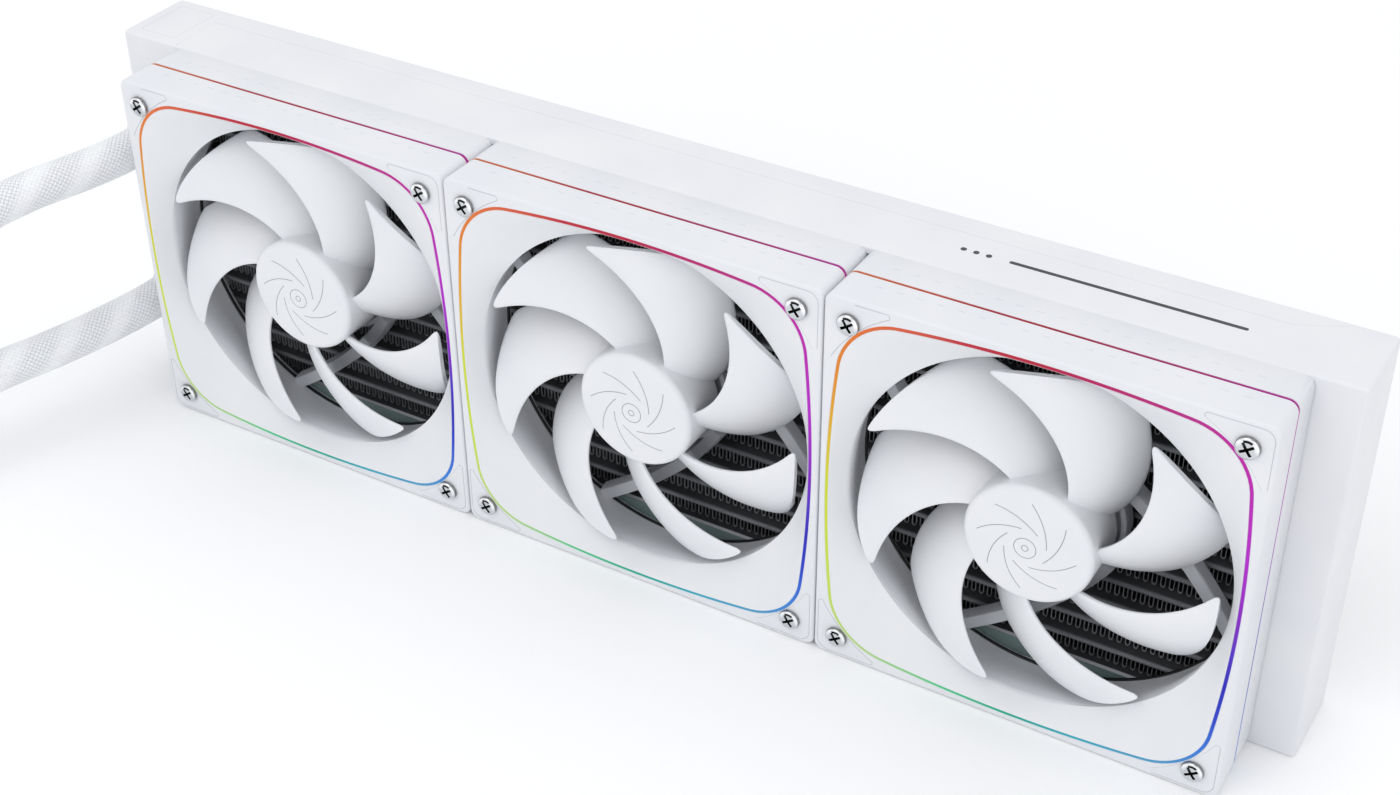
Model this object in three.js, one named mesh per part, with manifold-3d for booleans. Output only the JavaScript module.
// Liquid cooling radiator: a finned core between two tanks, three axial fans screwed to its front face and
// two sleeved hoses that leave the wide tank. Millimetres, +Z up, +X along the long side, the fans face -Y.
// The origin is the middle of the bottom of the box around radiator and fans.

import * as THREE from 'three';
import { mergeVertices } from 'three/addons/utils/BufferGeometryUtils.js';
import Module from 'manifold-3d';

const wasm = await Module();
wasm.setup();

// ---- Driving dimensions ----
const GAP = 0.3;                       // clearance between neighbouring pieces

const FAN_COUNT = 3;
const FAN_PITCH = 120;
const FAN_SIDE = 119.4;
const FAN_DEPTH = 25;
const FAN_CORNER_RADIUS = 3.5;
const SCREW_SPACING = 105;             // the standard hole square of a 120 mm fan

const RADIATOR_HEIGHT = 120;
const RADIATOR_DEPTH = 27;
const CORE_LENGTH = 360;
const WIDE_TANK = 21.5;                // tank that carries the hose ports
const NARROW_TANK = 12.5;
const TANK_WALL = 1.8;
const TANK_CORNER_RADIUS = 2.5;

const TUBE_COUNT = 15;
const TUBE_PITCH = 8;
const TUBE_THICKNESS = 1.8;
const TUBE_INSET = 2.4;                // from the radiator's faces to the tube noses
const HEADER_THICKNESS = 1.5;
const SIDE_PLATE_THICKNESS = 1.5;
const SIDE_FLANGE_HEIGHT = 10.7;        // at the screws
const LOW_FLANGE_HEIGHT = 7.3;          // between them
const FLANGE_NOTCH = 88;                // length of the low part behind each fan

const SCREW_RADIUS = 1.7;
const SCREW_LENGTH = 30;
const SCREW_HEAD_RADIUS = 3.2;
const SCREW_HEAD_HEIGHT = 1.4;
const SCREW_SEAT_GAP = 0.2;

const DUCT_LIP_RADIUS = 53;
const DUCT_REAR_RADIUS = 56;
const LIP_DEPTH = 5.2;
const POCKET_DEPTH = 7;                // recess in the frame for bezel and light ring
const LIGHT_WIDTH = 0.8;
const SIDE_LIGHT_DEPTH = 13.1;         // from the fan's front plane

const HUB_RADIUS = 18.4;
const HUB_DEPTH = 18;
const BLADE_COUNT = 7;
const BLADE_TIP_RADIUS = 50.6;
const BLADE_EDGE_RADIUS = 51.35;
const BLADE_FIRST_ANGLE = 4.3;         // degrees, of a blade's front tip
const BLADE_SWEEP = 1.37;              // degrees of forward sweep for each millimetre of radius
const BLADE_CHORD = 41;                // degrees from leading to trailing edge

const MOTOR_BASE_RADIUS = 20.2;
const STRUT_COUNT = 4;
const STRUT_WIDTH = 5;
const STRUT_START = [16.6, -11.6];     // middle line of the lower strut, from the motor base to the duct
const STRUT_BEND = [4.75, -32];
const STRUT_END = [-26, -52.4];

const HOSE_RADIUS = 6.2;
const HOSE_SIDES = 10;
const HOSE_STEP_DIAMETERS = 1.5;       // length of one straight step of the plain tube
const PORT_SPACING = 55;               // between the two hose ports, one above the other
const PORT_RADIUS = 5.2;
const PORT_INSET = 10.2;               // from the radiator's end to the ports
const COLLAR_RADIUS = 7.7;
const COLLAR_BORE = 7;
const COLLAR_LENGTH = 6;

// ---- Derived places ----
const LENGTH = WIDE_TANK + CORE_LENGTH + NARROW_TANK;
const DEPTH = SCREW_HEAD_HEIGHT + SCREW_SEAT_GAP + FAN_DEPTH + GAP + RADIATOR_DEPTH;
const FAN_FRONT = -DEPTH / 2 + SCREW_HEAD_HEIGHT + SCREW_SEAT_GAP;
const RADIATOR_FRONT = FAN_FRONT + FAN_DEPTH + GAP;
const RADIATOR_BACK = RADIATOR_FRONT + RADIATOR_DEPTH;
const RADIATOR_MIDDLE = (RADIATOR_FRONT + RADIATOR_BACK) / 2;
const MID_HEIGHT = RADIATOR_HEIGHT / 2;
const CORE_LEFT = -LENGTH / 2 + WIDE_TANK;
const CORE_RIGHT = CORE_LEFT + CORE_LENGTH;
const CORE_MIDDLE = (CORE_LEFT + CORE_RIGHT) / 2;
const FAN_CENTRES = Array.from({ length: FAN_COUNT },
  (_, i) => CORE_MIDDLE + (i - (FAN_COUNT - 1) / 2) * FAN_PITCH);
const PORT_X = -LENGTH / 2 + PORT_INSET;
const WIDE_TANK_X = -LENGTH / 2 + WIDE_TANK / 2;
const CORNERS = [[-1, 1], [1, 1], [-1, -1], [1, -1]];

// Centrelines of the hoses, from the tank port to the pump end. Each leaves the port forwards, falls to the
// surface that the radiator stands on, and lies there in a bend.
const HOSE_ROUTES = {
  upper: [
    [-186.8, -2.7, 87.5], [-186.8, -8, 87.5], [-187.3, -16.5, 87.5], [-188.9, -26.5, 87.5],
    [-191.7, -37, 87.5], [-195.2, -48.5, 87.5], [-199, -60, 86.3], [-204.7, -75.5, 82.7],
    [-213, -89.1, 77.1], [-224, -100, 70.3], [-236.8, -107.9, 62.6], [-250.9, -112.6, 54.4],
    [-265.5, -114.1, 46], [-280.2, -114.1, 37.6], [-295.1, -114.1, 29.5], [-310.3, -114.1, 22],
    [-325.9, -114.1, 15.4], [-342, -112.7, 10.2], [-357.6, -107.3, 7.1], [-371.7, -97.9, 6.4],
    [-383, -85.3, 6.4], [-390.6, -70.3, 6.4], [-394.2, -53.8, 6.4], [-394.5, -36.8, 6.4],
    [-394.5, -19.9, 6.9], [-394.5, -3, 7.8], [-394.5, 14, 7.8],
  ],
  lower: [
    [-186.8, -2.7, 32.5], [-186.8, -9.5, 32.5], [-187.2, -18, 32.5], [-188.8, -29.5, 32.5],
    [-191.6, -43, 32.5], [-195.4, -57, 32.5], [-200, -70.5, 32.4], [-205.7, -86, 30.7],
    [-212.4, -100.7, 27.1], [-222.5, -113.1, 22.5], [-235.3, -122.4, 17.5], [-250.1, -128.2, 12.8],
    [-266.1, -130, 8.9], [-282.6, -130, 6.7], [-299.2, -130, 6.4], [-315.8, -130, 6.4],
    [-332.4, -130, 6.4], [-349.1, -130, 6.4], [-365.5, -127.9, 6.4], [-380.8, -121.4, 6.4],
    [-393.8, -111.1, 6.4], [-403.6, -97.8, 6.4], [-409.6, -82.3, 6.4], [-411.2, -65.8, 6.4],
    [-411.2, -49.2, 7], [-411.2, -32.6, 7.8], [-411.2, -16, 7.8],
  ],
};

// ---- Materials ----
function material(color, roughness, metalness = 0) {
  return new THREE.MeshStandardMaterial({ color, roughness, metalness });
}

const whitePlastic = material(0xe9ebee, 0.45);
const whiteBezel = material(0xeceef1, 0.4);
const whiteBlade = material(0xeff0f2, 0.4);
const whitePaint = material(0xf1f2f4, 0.5);
const frontLight = material(0xc81e96, 0.3);
const sideLight = material(0xd24b78, 0.3);
const chrome = material(0xcfd2d4, 0.15, 1);
const steel = material(0xa9adb0, 0.3, 1);
const bronze = material(0xb08a4f, 0.4, 1);
const ferrite = material(0x2b2b2d, 0.7, 0.3);
const laminate = material(0x8c8f93, 0.45, 0.9);
const circuitGreen = material(0x1f6b45, 0.4);
const coreBlack = material(0x2b2c2e, 0.55, 0.5);
const hoseSleeve = material(0xe4e6e8, 0.85);
const collarWhite = material(0xe7e8ea, 0.5);

// ---- Solids ----
function solid(geometry) {
  const bare = geometry.clone();
  bare.deleteAttribute('normal');
  bare.deleteAttribute('uv');
  const merged = mergeVertices(bare, 1e-4);
  return new wasm.Manifold(new wasm.Mesh({
    numProp: 3,
    vertProperties: new Float32Array(merged.attributes.position.array),
    triVerts: new Uint32Array(merged.index.array),
  }));
}

function geometryOf(manifold) {
  const { vertProperties, triVerts } = manifold.getMesh();
  const geometry = new THREE.BufferGeometry();
  geometry.setAttribute('position', new THREE.BufferAttribute(vertProperties, 3));
  geometry.setIndex(new THREE.BufferAttribute(triVerts, 1));
  geometry.computeVertexNormals();
  return geometry;
}

function polygon(points) {
  return new THREE.Shape(points.map(([x, y]) => new THREE.Vector2(x, y)));
}

function polar(radius, degrees) {
  const angle = THREE.MathUtils.degToRad(degrees);
  return [radius * Math.cos(angle), radius * Math.sin(angle)];
}

// Points of an arc, end points included.
function arcPoints(cx, cy, radius, startDegrees, endDegrees, steps) {
  return Array.from({ length: steps + 1 }, (_, i) => {
    const [x, y] = polar(radius, startDegrees + (endDegrees - startDegrees) * i / steps);
    return [cx + x, cy + y];
  });
}

function roundedRectangle(width, height, radius, steps = 2) {
  const x = width / 2 - radius;
  const y = height / 2 - radius;
  return polygon([
    ...arcPoints(x, y, radius, 0, 90, steps), ...arcPoints(-x, y, radius, 90, 180, steps),
    ...arcPoints(-x, -y, radius, 180, 270, steps), ...arcPoints(x, -y, radius, 270, 360, steps),
  ]);
}

// A shape drawn in XY and extruded from z = low to z = high.
function prism(shape, low, high) {
  return new THREE.ExtrudeGeometry(shape, { depth: high - low, bevelEnabled: false }).translate(0, 0, low);
}

// A profile of [radius, z] points turned about the Z axis, listed anticlockwise with the radius to the right.
function turned(profile, segments) {
  const points = profile.map(([radius, z]) => new THREE.Vector2(radius, z));
  return new THREE.LatheGeometry(points, segments).rotateX(Math.PI / 2);
}

function rod(radius, low, high, segments = 16) {
  return turned([[0, low], [radius, low], [radius, high], [0, high]], segments);
}

function ring(inner, outer, low, high, segments = 16) {
  return turned([[inner, low], [outer, low], [outer, high], [inner, high], [inner, low]], segments);
}

function box(x0, x1, y0, y1, z0, z1) {
  return new THREE.BoxGeometry(x1 - x0, y1 - y0, z1 - z0)
    .translate((x0 + x1) / 2, (y0 + y1) / 2, (z0 + z1) / 2);
}

function signedVolume(points, triangles) {
  let sum = 0;
  for (let i = 0; i < triangles.length; i += 3) {
    const [a, b, c] = [points[triangles[i]], points[triangles[i + 1]], points[triangles[i + 2]]];
    sum += a.dot(new THREE.Vector3().crossVectors(b, c));
  }
  return sum / 6;
}

// A closed surface through loops of equally many points. A hoop joins its last loop to its first; otherwise
// the two end loops are filled, each as a strip between the first half of its points and the second.
function loft(loops, hoop) {
  const count = loops[0].length;
  const triangles = [];
  const quad = (a, b, c, d) => triangles.push(a, b, c, a, c, d);
  for (let i = 0; i < loops.length - (hoop ? 0 : 1); i += 1) {
    const next = (i + 1) % loops.length;
    for (let j = 0; j < count; j += 1) {
      const k = (j + 1) % count;
      quad(i * count + j, i * count + k, next * count + k, next * count + j);
    }
  }
  if (!hoop) {
    const last = (loops.length - 1) * count;
    for (let j = 0; j < count / 2 - 1; j += 1) {
      quad(j + 1, j, count - 1 - j, count - 2 - j);
      quad(last + j, last + j + 1, last + count - 2 - j, last + count - 1 - j);
    }
  }
  const points = loops.flat();
  if (signedVolume(points, triangles) < 0) triangles.reverse();
  const geometry = new THREE.BufferGeometry().setFromPoints(points);
  geometry.setIndex(triangles);
  geometry.computeVertexNormals();
  return geometry;
}

function addPiece(parent, name, geometry, finish, x = 0, y = 0, z = 0) {
  const mesh = new THREE.Mesh(geometry, finish);
  mesh.name = name;
  mesh.position.set(x, y, z);
  parent.add(mesh);
  return mesh;
}

// ---- Fan outline ----
// The light line's path: four shallow side arcs joined by four corner arcs, tangent where they meet. A
// positive offset lies outside the line.
const PATH_SIDE_RADIUS = 349;
const PATH_MID_SIDE = 57.4;
const PATH_CORNER_RADIUS = 18.9;
const PATH_CORNER_CENTRE = 36.5;
const PATH_SIDE_STEPS = 5;
const PATH_CORNER_STEPS = 3;

function lightPath(offset) {
  const sideCentre = PATH_SIDE_RADIUS - PATH_MID_SIDE;
  const half = THREE.MathUtils.radToDeg(Math.atan2(PATH_CORNER_CENTRE, sideCentre + PATH_CORNER_CENTRE));
  const points = [];
  for (let quarter = 0; quarter < 4; quarter += 1) {
    const side = arcPoints(-sideCentre, 0, PATH_SIDE_RADIUS + offset, -half, half, PATH_SIDE_STEPS);
    const corner = arcPoints(PATH_CORNER_CENTRE, PATH_CORNER_CENTRE, PATH_CORNER_RADIUS + offset,
      half, 90 - half, PATH_CORNER_STEPS);
    const turn = quarter * Math.PI / 2;
    const [cos, sin] = [Math.round(Math.cos(turn)), Math.round(Math.sin(turn))];
    for (const [x, y] of [...side.slice(0, -1), ...corner.slice(0, -1)]) {
      points.push([x * cos - y * sin, x * sin + y * cos]);
    }
  }
  return points;
}

function bandShape(outer, inner) {
  const shape = polygon(outer);
  shape.holes.push(new THREE.Path(inner.map(([x, y]) => new THREE.Vector2(x, y))));
  return shape;
}

// ---- Fan pieces, in the fan's own axes: z = 0 is the front plane, +z points to the viewer ----
// The motor's round pieces, each by its radii and by how deep behind the front plane it starts and ends.
const SHAFT_RADIUS = 1.5;
const SHAFT_DEPTHS = [4.5, 22.5];
const BEARING_RADII = [1.75, 5.2];
const BEARING_DEPTHS = [9.2, 22.2];
const MAGNET_RADII = [14.9, 16.8];
const MAGNET_DEPTHS = [6.5, 17];
const STATOR_DEPTHS = [10, 16.6];
const BOARD_RADIUS = 16.3;
const BOARD_DEPTHS = [18.6, 19.8];

const DUCT_SEGMENTS = 36;
const STRUT_FRONT = -20.3;
const BASE_FLOOR = 1.7;
const BASE_RIM = 1.7;
const BASE_RIM_TOP = -19.9;
const BASE_TOP = -21.5;
const HOLDER_TOP = -STATOR_DEPTHS[0];
const HOLDER_BORE = 5.5;
const HOLDER_RADIUS = 6.7;
const MOTOR_BORE = HOLDER_RADIUS + 0.6;
const SIDE_GROOVE = 2;
const PAST = 1;                        // how far a cutting solid reaches past what it cuts

function rearStruts() {
  const ends = [STRUT_START, STRUT_BEND, STRUT_END].map(([x, y]) => new THREE.Vector2(x, y));
  const curve = new THREE.QuadraticBezierCurve(...ends);
  const [left, right] = [[], []];
  const steps = 6;
  for (let i = 0; i <= steps; i += 1) {
    const [point, along] = [curve.getPoint(i / steps), curve.getTangent(i / steps)];
    const [dx, dy] = [-along.y * STRUT_WIDTH / 2, along.x * STRUT_WIDTH / 2];
    left.push([point.x + dx, point.y + dy]);
    right.unshift([point.x - dx, point.y - dy]);
  }
  const struts = [];
  for (let i = 0; i < STRUT_COUNT; i += 1) {
    const strut = prism(polygon([...left, ...right]), -FAN_DEPTH, STRUT_FRONT);
    struts.push(solid(strut.rotateZ(i * 2 * Math.PI / STRUT_COUNT)));
  }
  return struts;
}

// The disc behind the motor, with its raised rim and the holder of the shaft bearing.
function motorBase() {
  const rim = MOTOR_BASE_RADIUS - BASE_RIM;
  return turned([
    [0, -FAN_DEPTH], [MOTOR_BASE_RADIUS, -FAN_DEPTH], [MOTOR_BASE_RADIUS, BASE_RIM_TOP], [rim, BASE_RIM_TOP],
    [rim, BASE_TOP], [HOLDER_RADIUS, BASE_TOP], [HOLDER_RADIUS, HOLDER_TOP], [0, HOLDER_TOP],
  ], 16);
}

function fanFrame() {
  const square = roundedRectangle(FAN_SIDE, FAN_SIDE, FAN_CORNER_RADIUS);
  const pocket = polygon(lightPath(LIGHT_WIDTH / 2 + GAP));
  const duct = turned([
    [0, -FAN_DEPTH - PAST], [DUCT_REAR_RADIUS, -FAN_DEPTH - PAST], [DUCT_REAR_RADIUS, -FAN_DEPTH + 3],
    [DUCT_LIP_RADIUS, -POCKET_DEPTH], [DUCT_LIP_RADIUS, PAST], [0, PAST],
  ], DUCT_SEGMENTS);
  const grooveLow = -SIDE_LIGHT_DEPTH - LIGHT_WIDTH / 2 - GAP;
  const grooveHigh = -SIDE_LIGHT_DEPTH + LIGHT_WIDTH / 2 + GAP;
  const [inside, outside] = [FAN_SIDE - 2 * SIDE_GROOVE, FAN_SIDE + 4 * PAST];
  const keptOutline = roundedRectangle(inside, inside, FAN_CORNER_RADIUS);
  const kept = prism(keptOutline, grooveLow - PAST, grooveHigh + PAST);
  const groove = solid(prism(roundedRectangle(outside, outside, FAN_CORNER_RADIUS), grooveLow, grooveHigh))
    .subtract(solid(kept));
  let frame = solid(prism(square, -FAN_DEPTH, 0))
    .subtract(solid(prism(pocket, -POCKET_DEPTH, PAST)))
    .subtract(solid(duct))
    .subtract(groove);
  for (const [sx, sy] of CORNERS) {
    const hole = rod(SCREW_RADIUS + 0.5, -FAN_DEPTH - PAST, PAST, 8);
    frame = frame.subtract(solid(hole.translate(sx * SCREW_SPACING / 2, sy * SCREW_SPACING / 2, 0)));
  }
  for (const strut of rearStruts()) frame = frame.add(strut);
  frame = frame
    .add(solid(motorBase()))
    .subtract(solid(rod(HOLDER_BORE, -FAN_DEPTH + BASE_FLOOR, 0, 16)));
  return geometryOf(frame);
}

// The dished panel inside the light line, which runs from the line down to the round lip of the duct.
function frontBezel() {
  const outline = lightPath(-LIGHT_WIDTH / 2 - GAP);
  const bottom = -POCKET_DEPTH + GAP;
  const at = (inward, z) => outline.map(([x, y]) => {
    const radius = Math.hypot(x, y);
    const wanted = radius + (DUCT_LIP_RADIUS - radius) * inward;
    return new THREE.Vector3(x * wanted / radius, y * wanted / radius, z);
  });
  const dish = [0, 0.35, 0.65, 0.87, 1].map((inward) => at(inward, -LIP_DEPTH * inward ** 2.4));
  return loft([...dish, at(1, bottom), at(0, bottom)], true);
}

function lightRing() {
  const shape = bandShape(lightPath(LIGHT_WIDTH / 2), lightPath(-LIGHT_WIDTH / 2));
  return prism(shape, -POCKET_DEPTH + GAP, 0);
}

function sideLightBand() {
  const inside = FAN_SIDE - 2 * (SIDE_GROOVE - GAP);
  const shape = roundedRectangle(FAN_SIDE, FAN_SIDE, FAN_CORNER_RADIUS);
  shape.holes.push(new THREE.Path(roundedRectangle(inside, inside, FAN_CORNER_RADIUS - 1).getPoints()));
  return prism(shape, -SIDE_LIGHT_DEPTH - LIGHT_WIDTH / 2, -SIDE_LIGHT_DEPTH + LIGHT_WIDTH / 2);
}

// What changes along a blade, as its values at the hub and at the tip. Depths are behind the front plane.
const LEAD_DEPTH = [4.6, 2.5];
const TRAIL_DEPTH = [16.6, 15.4];
const BLADE_THICKNESS = [2.2, 1.1];
const BLADE_CUP = 1.6;
const BLADE_EDGE_SHARE = 0.4;          // thickness at the edges, as a share of the blade's

// A blade section at one radius: front side from leading to trailing edge, then the back side in reverse.
function bladeSection(radius, tipDegrees) {
  const span = (radius - HUB_RADIUS) / (BLADE_TIP_RADIUS - HUB_RADIUS);
  const [leadDepth, trailDepth, thickness] = [LEAD_DEPTH, TRAIL_DEPTH, BLADE_THICKNESS]
    .map(([hub, tip]) => THREE.MathUtils.lerp(hub, tip, span));
  const lead = tipDegrees - BLADE_SWEEP * (BLADE_TIP_RADIUS - radius);
  const steps = 4;
  const front = [];
  const back = [];
  for (let i = 0; i <= steps; i += 1) {
    const s = i / steps;
    const angle = THREE.MathUtils.degToRad(lead - BLADE_CHORD * s);
    const reach = i === 0 ? Math.min(radius, BLADE_TIP_RADIUS) : radius;
    const depth = THREE.MathUtils.lerp(leadDepth, trailDepth, s) - BLADE_CUP * Math.sin(Math.PI * s);
    const edge = i === 0 || i === steps ? BLADE_EDGE_SHARE : 1;
    const [x, y] = [reach * Math.cos(angle), reach * Math.sin(angle)];
    front.push(new THREE.Vector3(x, y, -depth));
    back.unshift(new THREE.Vector3(x, y, -depth - thickness * edge));
  }
  return [...front, ...back];
}

function impeller() {
  const bore = SHAFT_RADIUS + GAP;
  const boss = 3.4;
  const bossDepth = 8.4;
  const inner = HUB_RADIUS - 1.3;
  const shoulder = 4.2;
  const hub = turned([
    [0, -shoulder], [bore, -shoulder], [bore, -bossDepth], [boss, -bossDepth], [boss, -4], [inner, -4.6],
    [inner, -HUB_DEPTH], [HUB_RADIUS, -HUB_DEPTH], [HUB_RADIUS, -shoulder], [HUB_RADIUS - 1.6, -2.3],
    [HUB_RADIUS - 6, -1.4], [0, -0.9],
  ], 20);
  let wheel = solid(hub);
  const intoHub = 0.7;
  const radii = [HUB_RADIUS - intoHub, 30, 42, BLADE_EDGE_RADIUS];
  for (let i = 0; i < BLADE_COUNT; i += 1) {
    const tip = BLADE_FIRST_ANGLE + i * 360 / BLADE_COUNT;
    wheel = wheel.add(solid(loft(radii.map((radius) => bladeSection(radius, tip)), false)));
  }
  return geometryOf(wheel);
}

// Four wound poles round a central ring. Each pole is a neck that widens to a shoe.
function stator() {
  const [neck, shoe, shoeTip, outer] = [9.2, 11.4, 12.2, 14.4];
  const [neckHalf, shoeHalf, tipHalf] = [22, 17, 36];
  const points = [];
  for (let pole = 0; pole < 4; pole += 1) {
    const middle = pole * 90;
    points.push(
      polar(neck, middle - 45), polar(neck, middle - neckHalf), polar(shoe, middle - shoeHalf),
      polar(shoeTip, middle - tipHalf), ...arcPoints(0, 0, outer, middle - tipHalf, middle + tipHalf, 3),
      polar(shoeTip, middle + tipHalf), polar(shoe, middle + shoeHalf), polar(neck, middle + neckHalf),
    );
  }
  return prism(bandShape(points, arcPoints(0, 0, MOTOR_BORE, 0, 330, 11)), -STATOR_DEPTHS[1], HOLDER_TOP);
}

// Pan head with a cross recess on a plain shank.
function screw() {
  const seat = SCREW_SEAT_GAP;
  const top = seat + SCREW_HEAD_HEIGHT;
  const body = turned([
    [0, -SCREW_LENGTH], [SCREW_RADIUS, -SCREW_LENGTH], [SCREW_RADIUS, seat], [SCREW_HEAD_RADIUS, seat],
    [SCREW_HEAD_RADIUS - 0.4, top - 0.4], [0, top],
  ], 10);
  const [reach, half, depth] = [1.7, 0.4, 1];
  const slot = solid(box(-reach, reach, -half, half, top - depth, top + PAST));
  const cross = slot.add(solid(box(-half, half, -reach, reach, top - depth, top + PAST)));
  return geometryOf(solid(body).subtract(cross));
}

function addFan(parent, number, centreX) {
  const fan = new THREE.Group();
  fan.position.set(centreX, FAN_FRONT, MID_HEIGHT);
  fan.rotation.x = Math.PI / 2;
  parent.add(fan);
  const add = (piece, geometry, finish, x, y) => {
    addPiece(fan, `fan_${number}_${piece}`, geometry, finish, x, y);
  };
  const between = ([front, rear]) => [-rear, -front];
  add('frame', fanFrame(), whitePlastic);
  add('front_bezel', frontBezel(), whiteBezel);
  add('light_ring', lightRing(), frontLight);
  add('side_light_band', sideLightBand(), sideLight);
  add('impeller', impeller(), whiteBlade);
  add('rotor_magnet', ring(...MAGNET_RADII, ...between(MAGNET_DEPTHS)), ferrite);
  add('shaft', rod(SHAFT_RADIUS, ...between(SHAFT_DEPTHS), 8), steel);
  add('bearing', ring(...BEARING_RADII, ...between(BEARING_DEPTHS), 12), bronze);
  add('stator', stator(), laminate);
  add('circuit_board', ring(MOTOR_BORE, BOARD_RADIUS, ...between(BOARD_DEPTHS)), circuitGreen);
  CORNERS.forEach(([sx, sy], i) => {
    add(`screw_${i + 1}`, screw(), chrome, sx * SCREW_SPACING / 2, sy * SCREW_SPACING / 2);
  });
}

// ---- Radiator ----
// Flat tubes between two header plates, brazed into one piece.
function core() {
  const tubeDepth = RADIATOR_DEPTH - 2 * TUBE_INSET;
  const [left, right] = [CORE_LEFT + GAP, CORE_RIGHT - GAP];
  const section = roundedRectangle(tubeDepth, TUBE_THICKNESS, TUBE_THICKNESS / 2 - 0.2, 1);
  const [front, back] = [RADIATOR_FRONT + TANK_WALL, RADIATOR_BACK - TANK_WALL];
  const headerEdge = 0.7;
  const reach = (TUBE_COUNT - 1) / 2 * TUBE_PITCH + TUBE_THICKNESS / 2 + headerEdge;
  const [low, high] = [MID_HEIGHT - reach, MID_HEIGHT + reach];
  const header = (x) => solid(box(x, x + HEADER_THICKNESS, front, back, low, high));
  let body = header(left).add(header(right - HEADER_THICKNESS));
  for (let i = 0; i < TUBE_COUNT; i += 1) {
    const tube = prism(section, left + 0.5, right - 0.5).rotateZ(Math.PI / 2).rotateY(Math.PI / 2);
    tube.translate(0, RADIATOR_MIDDLE, MID_HEIGHT + (i - (TUBE_COUNT - 1) / 2) * TUBE_PITCH);
    body = body.add(solid(tube));
  }
  return geometryOf(body);
}

// Channel along the top or bottom of the core. Its flanges hold the fan screws in front and the case screws
// behind.
function sidePlate(side) {
  const [left, right] = [CORE_LEFT + GAP, CORE_RIGHT - GAP];
  const inner = RADIATOR_DEPTH - 2 * SIDE_PLATE_THICKNESS;
  const outline = roundedRectangle(RADIATOR_DEPTH, 2 * SIDE_FLANGE_HEIGHT, 1.5);
  const upright = (shape) => prism(shape, left, right).rotateZ(Math.PI / 2).rotateY(Math.PI / 2);
  const [start, end, bottom] = [left - PAST, right + PAST, -SIDE_FLANGE_HEIGHT - PAST];
  const hollow = box(start, end, -inner / 2, inner / 2, bottom, SIDE_FLANGE_HEIGHT - SIDE_PLATE_THICKNESS);
  const lowerHalf = box(start, end, -RADIATOR_DEPTH, RADIATOR_DEPTH, bottom, 0);
  let plate = solid(upright(outline)).subtract(solid(hollow)).subtract(solid(lowerHalf));
  const holeHeight = SIDE_FLANGE_HEIGHT - (RADIATOR_HEIGHT - SCREW_SPACING) / 2;
  for (const centre of FAN_CENTRES) {
    for (const sx of [-1, 1]) {
      const hole = rod(SCREW_RADIUS + 0.35, -RADIATOR_DEPTH, RADIATOR_DEPTH, 8).rotateX(Math.PI / 2);
      plate = plate.subtract(solid(hole.translate(centre + sx * SCREW_SPACING / 2, 0, holeHeight)));
    }
    const [from, to] = [centre - FLANGE_NOTCH / 2, centre + FLANGE_NOTCH / 2];
    const notch = box(from, to, -RADIATOR_DEPTH, RADIATOR_DEPTH, -PAST, SIDE_FLANGE_HEIGHT - LOW_FLANGE_HEIGHT);
    plate = plate.subtract(solid(notch));
  }
  const geometry = geometryOf(plate);
  if (side < 0) geometry.rotateX(Math.PI);
  const base = RADIATOR_HEIGHT - SIDE_FLANGE_HEIGHT;
  return geometry.translate(0, RADIATOR_MIDDLE, side > 0 ? base : SIDE_FLANGE_HEIGHT);
}

const CAP_INSET = 4;
const CAP_THICKNESS = 1.6;
const CAP_CORNER_RADIUS = 1.5;

function tankShell(width) {
  return solid(prism(roundedRectangle(width, RADIATOR_DEPTH, TANK_CORNER_RADIUS, 3), 0, RADIATOR_HEIGHT));
}

// An end cap's outline, or with a clearance the opening that it fills.
function capOutline(clearance) {
  const [width, depth] = [WIDE_TANK, RADIATOR_DEPTH].map((size) => size - 2 * CAP_INSET + clearance);
  return roundedRectangle(width, depth, CAP_CORNER_RADIUS);
}

// The wide tank: hose ports in its front wall, a divider between them and an end cap opening above and below.
function wideTank() {
  const half = WIDE_TANK / 2;
  const room = RADIATOR_DEPTH / 2 - TANK_WALL;
  const cavity = (low, high) => solid(box(-half + TANK_WALL, half + PAST, -room, room, low, high));
  const opening = capOutline(GAP);
  let tank = tankShell(WIDE_TANK)
    .subtract(cavity(TANK_WALL, MID_HEIGHT - TANK_WALL / 2))
    .subtract(cavity(MID_HEIGHT + TANK_WALL / 2, RADIATOR_HEIGHT - TANK_WALL))
    .subtract(solid(prism(opening, -PAST, TANK_WALL + PAST)))
    .subtract(solid(prism(opening, RADIATOR_HEIGHT - TANK_WALL - PAST, RADIATOR_HEIGHT + PAST)));
  for (const side of [-1, 1]) {
    const port = rod(PORT_RADIUS, 0, RADIATOR_DEPTH / 2 + PAST, 12).rotateX(Math.PI / 2);
    port.translate(PORT_X - WIDE_TANK_X, 0, MID_HEIGHT + side * PORT_SPACING / 2);
    tank = tank.subtract(solid(port));
  }
  return geometryOf(tank);
}

function narrowTank() {
  const half = NARROW_TANK / 2;
  const room = RADIATOR_DEPTH / 2 - TANK_WALL;
  const cavity = box(-half - PAST, half - TANK_WALL, -room, room, TANK_WALL, RADIATOR_HEIGHT - TANK_WALL);
  return geometryOf(tankShell(NARROW_TANK).subtract(solid(cavity)));
}

function tankCap() {
  return prism(capOutline(0), 0, CAP_THICKNESS);
}

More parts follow.
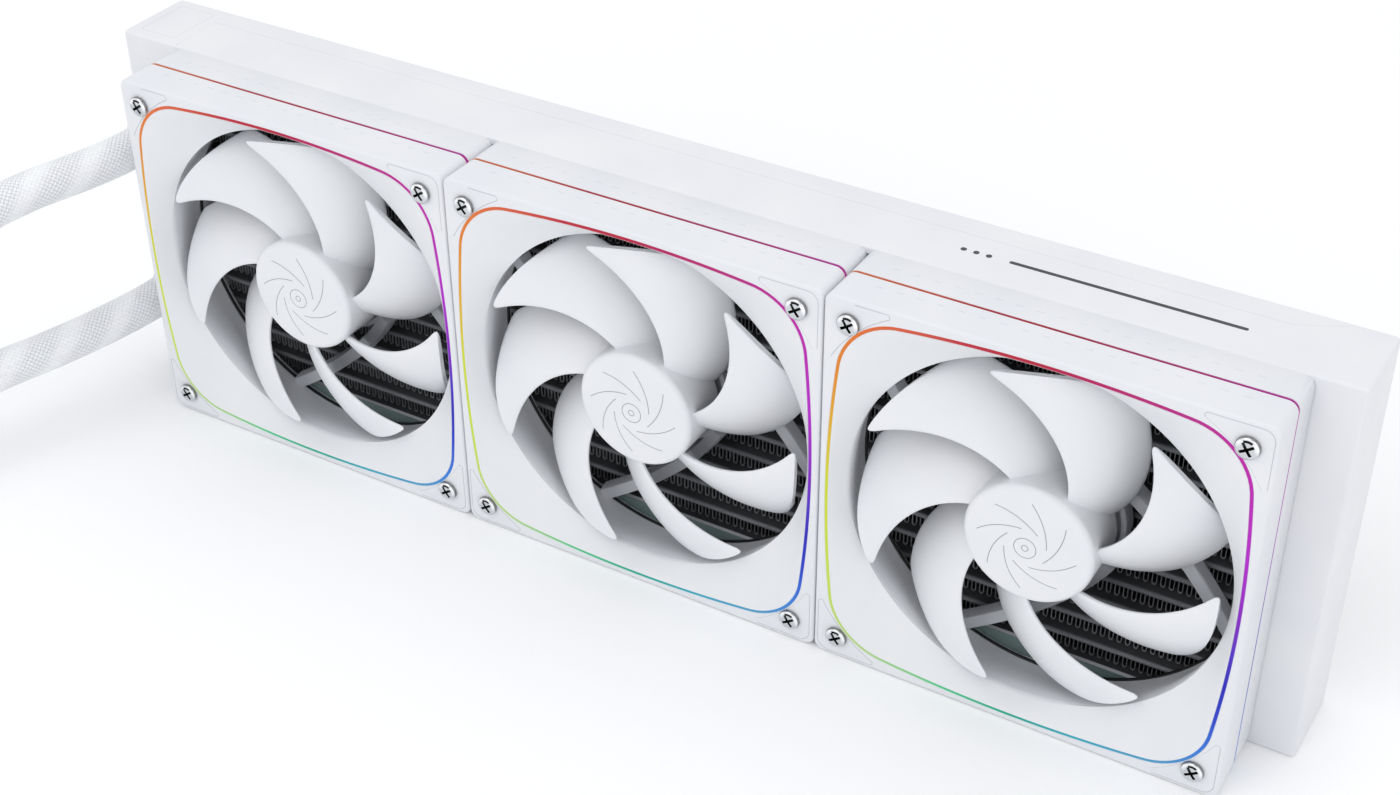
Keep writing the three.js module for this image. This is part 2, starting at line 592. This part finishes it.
function addRadiator(parent) {
  addPiece(parent, 'core', core(), coreBlack);
  addPiece(parent, 'top_side_plate', sidePlate(1), whitePaint);
  addPiece(parent, 'bottom_side_plate', sidePlate(-1), whitePaint);
  addPiece(parent, 'wide_tank', wideTank(), whitePaint, WIDE_TANK_X, RADIATOR_MIDDLE);
  addPiece(parent, 'narrow_tank', narrowTank(), whitePaint, LENGTH / 2 - NARROW_TANK / 2, RADIATOR_MIDDLE);
  const flush = 0.1;
  addPiece(parent, 'tank_cap_top', tankCap(), whitePaint, WIDE_TANK_X, RADIATOR_MIDDLE,
    RADIATOR_HEIGHT - CAP_THICKNESS - flush);
  addPiece(parent, 'tank_cap_bottom', tankCap(), whitePaint, WIDE_TANK_X, RADIATOR_MIDDLE, flush);
}

// ---- Hoses ----
const FLANGE_RADIUS = 7.6;
const FLANGE_THICKNESS = 2;
const SPIGOT_RADIUS = 4.8;
const SPIGOT_BORE = 3.2;
const SPIGOT_LENGTH = 6;

// A hose fitting along +z: its flange starts at z = 0 and meets the hose, the spigot points away from it.
function hoseFitting() {
  return turned([
    [SPIGOT_BORE, -SPIGOT_LENGTH], [SPIGOT_RADIUS, -SPIGOT_LENGTH], [SPIGOT_RADIUS, -FLANGE_THICKNESS],
    [FLANGE_RADIUS, -FLANGE_THICKNESS], [FLANGE_RADIUS, 0], [SPIGOT_BORE, 0], [SPIGOT_BORE, -SPIGOT_LENGTH],
  ], 12);
}

function hoseTube(route) {
  const points = route.map((point) => new THREE.Vector3(...point));
  const curve = new THREE.CatmullRomCurve3(points, false, 'centripetal');
  const section = polygon(arcPoints(0, 0, HOSE_RADIUS, 0, 360 - 360 / HOSE_SIDES, HOSE_SIDES - 1));
  const steps = Math.round(curve.getLength() / (HOSE_RADIUS * 2 * HOSE_STEP_DIAMETERS));
  return new THREE.ExtrudeGeometry(section, { steps, extrudePath: curve, bevelEnabled: false });
}

// Collar and fitting at one end of a hose. The group's +z axis runs from the end point into the hose.
function addHoseEnd(parent, side, place, end, inward) {
  const group = new THREE.Group();
  group.position.copy(end);
  group.quaternion.setFromUnitVectors(new THREE.Vector3(0, 0, 1), inward);
  parent.add(group);
  addPiece(group, `${place}_fitting_${side}`, hoseFitting(), steel, 0, 0, -GAP);
  addPiece(group, `${place}_collar_${side}`,
    ring(COLLAR_BORE, COLLAR_RADIUS, 0, COLLAR_LENGTH, 16), collarWhite, 0, 0, 0.1);
}

function addHoses(parent) {
  for (const [side, route] of Object.entries(HOSE_ROUTES)) {
    addPiece(parent, `hose_${side}`, hoseTube(route), hoseSleeve);
    const points = route.map((point) => new THREE.Vector3(...point));
    addHoseEnd(parent, side, 'tank', points[0], new THREE.Vector3(0, -1, 0));
    addHoseEnd(parent, side, 'pump', points.at(-1), new THREE.Vector3(0, -1, 0));
  }
}

const radiator = new THREE.Group();
addRadiator(radiator);
FAN_CENTRES.forEach((x, i) => addFan(radiator, i + 1, x));
addHoses(radiator);

export default radiator;
